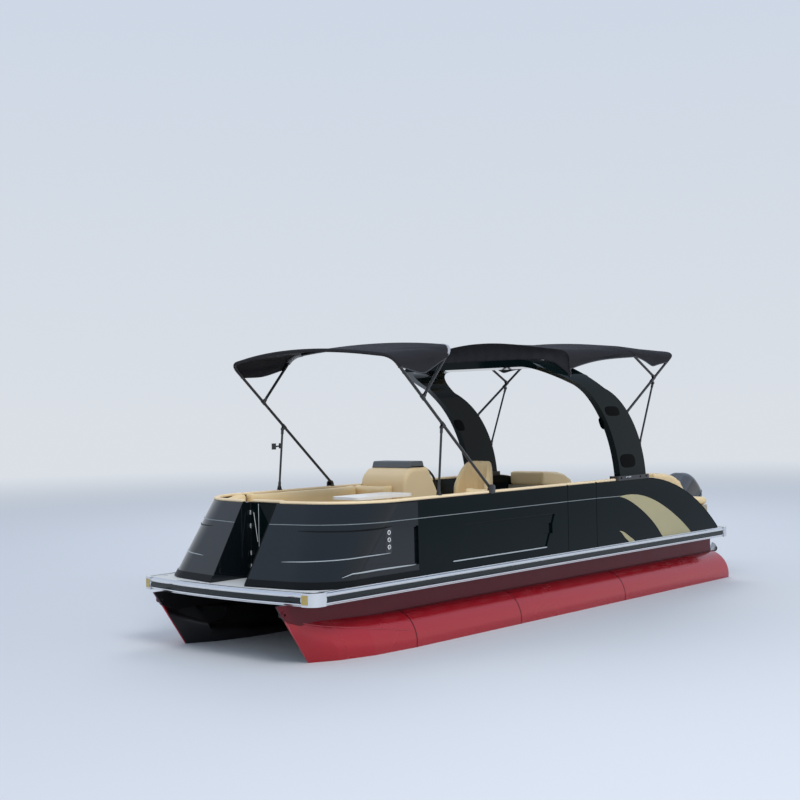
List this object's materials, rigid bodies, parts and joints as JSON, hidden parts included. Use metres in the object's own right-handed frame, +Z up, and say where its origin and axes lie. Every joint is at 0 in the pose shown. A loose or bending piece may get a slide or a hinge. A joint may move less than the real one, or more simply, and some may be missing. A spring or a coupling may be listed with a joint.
{
  "type": "pontoon boat",
  "caption": "Pontoon boat with red floats, a black fenced deck, tan seats, a raked arch, folding canopies, gates, a helm and a tilted outboard motor.",
  "frame": {"origin": "middle of the bounding box, on the floor under the keel strips", "axes": "+X towards the bow, +Y to port, +Z up"},
  "size_m": [10.0541, 2.558, 3.3874],
  "materials": {
    "float_red": "gloss",
    "riser_red": "satin",
    "fence_black": "gloss",
    "polished": "polished",
    "mill_metal": "satin",
    "stainless": "polished",
    "deck_vinyl": "matte",
    "tan_vinyl": "satin",
    "seat_base": "satin",
    "console_tan": "satin",
    "dash_grey": "matte",
    "trim_black": "satin",
    "lamp_glass": "gloss",
    "black_grip": "matte",
    "white_top": "satin",
    "black_tube": "satin",
    "canvas": "matte",
    "motor_black": "gloss",
    "motor_metal": "satin"
  },
  "bodies": {
    "boat": {"port_float": "float_red", "starboard_float": "float_red", "risers": "riser_red", "crossmembers": "mill_metal", "deck": "deck_vinyl", "rub_rails": "polished", "rail_corner_caps": "polished", "engine_pod": "riser_red", "port_bow_panel": "fence_black", "starboard_bow_panel": "fence_black", "port_side_panel": "fence_black", "starboard_side_panel": "fence_black", "port_aft_panel": "fence_black", "starboard_aft_panel": "fence_black", "port_fence_cap": "tan_vinyl", "starboard_fence_cap": "tan_vinyl", "gate_hinges": "stainless", "arch": "fence_black", "arch_collars": "black_tube", "canopy_mounts": "black_tube", "bow_skirts": "trim_black", "docking_lights": "lamp_glass", "lounge_bases": "seat_base", "lounge_cushions": "tan_vinyl", "bow_corner_backs": "tan_vinyl", "stern_bases": "seat_base", "stern_cushions": "tan_vinyl", "helm_console": "console_tan", "helm_dash": "dash_grey", "chair_post": "stainless", "bow_table": "white_top", "motor_clamps": "motor_metal"},
    "bow_gate": {"bow_gate": "fence_black", "bow_gate_cap": "tan_vinyl"},
    "side_gate": {"side_gate": "fence_black", "side_gate_cap": "tan_vinyl"},
    "steering_wheel": {"steering_wheel": "black_grip"},
    "helm_chair": {"chair_frame": "black_tube", "chair_bucket": "tan_vinyl"},
    "front_hoop": {"front_canopy_hoop": "black_tube", "front_canopy": "canvas"},
    "front_second_hoop": {"front_canopy_second_hoop": "black_tube"},
    "front_struts": {"front_canopy_struts": "black_tube"},
    "rear_hoop": {"rear_canopy_hoop": "black_tube", "rear_canopy": "canvas"},
    "rear_second_hoop": {"rear_canopy_second_hoop": "black_tube"},
    "rear_struts": {"rear_canopy_struts": "black_tube"},
    "motor_swivel": {"motor_swivel": "motor_metal"},
    "outboard": {"motor_midsection": "motor_metal", "motor_gearcase": "motor_metal", "motor_cowl": "motor_black"},
    "propeller": {"propeller": "stainless"}
  },
  "joints": [
    {"name": "bow_gate_hinge", "type": "hinge", "parent": "boat", "child": "bow_gate", "pos_m": [4.28035, -0.2434, 0.97], "axis": [0, 0, 1], "range_deg": [0, 90]},
    {"name": "side_gate_hinge", "type": "hinge", "parent": "boat", "child": "side_gate", "pos_m": [0.0711, 1.1684, 0.97], "axis": [0, 0, -1], "range_deg": [0, 90]},
    {"name": "wheel_turn", "type": "hinge", "parent": "boat", "child": "steering_wheel", "pos_m": [1.00925, -0.7, 1.81148], "axis": [0.8721, 0, -0.4893], "range_deg": [-540, 540]},
    {"name": "chair_swivel", "type": "hinge", "parent": "boat", "child": "helm_chair", "pos_m": [0.1371, -0.64, 0.97], "axis": [0, 0, 1], "continuous": true},
    {"name": "front_fold", "type": "hinge", "parent": "boat", "child": "front_hoop", "pos_m": [2.1171, 0, 1.806], "axis": [0, -1, 0], "range_deg": [0, 50], "deforming": ["front_canopy"]},
    {"name": "front_second_fold", "type": "hinge", "parent": "front_hoop", "child": "front_second_hoop", "pos_m": [3.17276, 0, 2.81092], "axis": [0, -1, 0], "range_deg": [-80.01, 0]},
    {"name": "front_strut_fold", "type": "hinge", "parent": "front_hoop", "child": "front_struts", "pos_m": [2.91057, 0, 2.47163], "axis": [0, -1, 0], "range_deg": [-46.51, 0]},
    {"name": "rear_fold", "type": "hinge", "parent": "boat", "child": "rear_hoop", "pos_m": [-0.72381, 0, 2.58466], "axis": [0, 1, 0], "range_deg": [0, 45], "deforming": ["rear_canopy"]},
    {"name": "rear_second_fold", "type": "hinge", "parent": "rear_hoop", "child": "rear_second_hoop", "pos_m": [-1.36706, 0, 3.04141], "axis": [0, 1, 0], "range_deg": [-94.51, 0]},
    {"name": "rear_strut_fold", "type": "hinge", "parent": "rear_hoop", "child": "rear_struts", "pos_m": [-1.35917, 0, 2.94613], "axis": [0, 1, 0], "range_deg": [-18.01, 0]},
    {"name": "motor_tilt", "type": "hinge", "parent": "boat", "child": "motor_swivel", "pos_m": [-3.8749, 0, 0.738], "axis": [0, 1, 0], "range_deg": [-38, 27]},
    {"name": "motor_steer", "type": "hinge", "parent": "motor_swivel", "child": "outboard", "pos_m": [-3.96552, 0, 0.8088], "axis": [0.6157, 0, 0.788], "range_deg": [-30, 30]},
    {"name": "propeller_spin", "type": "hinge", "parent": "outboard", "child": "propeller", "pos_m": [-4.95339, 0, 0.47022], "axis": [0.788, 0, -0.6157], "continuous": true}
  ],
  "couplings": [
    {"joint": "front_second_fold", "follows": "front_fold", "ratio": -1.6},
    {"joint": "front_strut_fold", "follows": "front_fold", "ratio": -0.93},
    {"joint": "rear_second_fold", "follows": "rear_fold", "ratio": -2.1},
    {"joint": "rear_strut_fold", "follows": "rear_fold", "ratio": -0.4},
    {"joint": "wheel_turn", "follows": "motor_steer", "ratio": 18}
  ]
}
